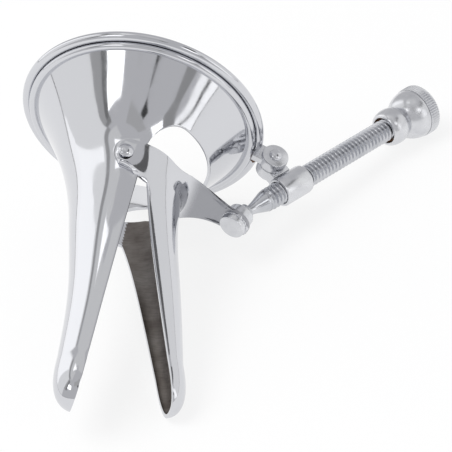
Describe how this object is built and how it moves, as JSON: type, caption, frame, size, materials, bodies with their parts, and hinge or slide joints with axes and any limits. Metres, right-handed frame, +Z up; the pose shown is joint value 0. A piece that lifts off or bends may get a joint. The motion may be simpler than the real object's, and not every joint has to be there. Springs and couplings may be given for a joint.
{
  "type": "bivalve speculum",
  "caption": "Bell-mouthed speculum with a fixed half-tube blade, a second blade hinged on rivets, and a side screw with a knurled knob that spreads the blades.",
  "frame": {"origin": "centre of the bounding box's base, on the table the instrument lies on", "axes": "+Z up from the table; -Y along the bell's axis towards the blade tips, as seen from above; +X towards the screw and its knob"},
  "size_m": [0.1032, 0.133, 0.0637],
  "materials": {
    "chromed_shell": "polished",
    "chromed_blade": "polished",
    "rim_wire": "drawn",
    "rivets": "polished",
    "satin_fittings": "satin",
    "screw": "satin thread",
    "knob": "knurled",
    "lug": "satin"
  },
  "bodies": {
    "bell": {"bell_and_fixed_blade": "chromed_shell", "rim_wire": "rim_wire", "near_blade_rivet": "rivets", "far_blade_rivet": "rivets", "rim_lug": "lug", "lug_rivet": "rivets"},
    "movable_blade": {"movable_blade": "chromed_blade", "swivel_drum": "satin_fittings", "drum_cap": "satin_fittings"},
    "swivel_nut": {"swivel_nut": "satin_fittings"},
    "swivel_ball": {"swivel_ball": "satin_fittings"},
    "screw": {"screw_rod": "screw", "knob": "knob"}
  },
  "joints": [
    {"name": "blade_pivot", "type": "hinge", "parent": "bell", "child": "movable_blade", "pos_m": [-0.02193, -0.00102, 0.02815], "axis": [0.4427, -0.1798, 0.8785], "range_deg": [-20.6, 4.01]},
    {"name": "nut_swivel", "type": "hinge", "parent": "bell", "child": "swivel_nut", "pos_m": [0.01331, 0.02559, 0.01584], "axis": [0.4427, -0.1798, 0.8785], "range_deg": [-2.85, 14.63]},
    {"name": "screw_travel", "type": "slide", "parent": "swivel_nut", "child": "swivel_ball", "axis": [0.5471, 0.8304, -0.1057], "range_m": [-0.01221, 0.00237]},
    {"name": "screw_spin", "type": "hinge", "parent": "swivel_ball", "child": "screw", "pos_m": [0.00872, 0.00625, 0.0142], "axis": [0.5471, 0.8304, -0.1057], "range_deg": [-3379, 656]}
  ],
  "couplings": [
    {"joint": "screw_travel", "follows": "screw_spin", "m_per_rad": 0.0002069},
    {"joint": "blade_pivot", "follows": "screw_spin", "ratio": 0.0060947},
    {"joint": "nut_swivel", "follows": "screw_spin", "ratio": -0.0043272}
  ]
}
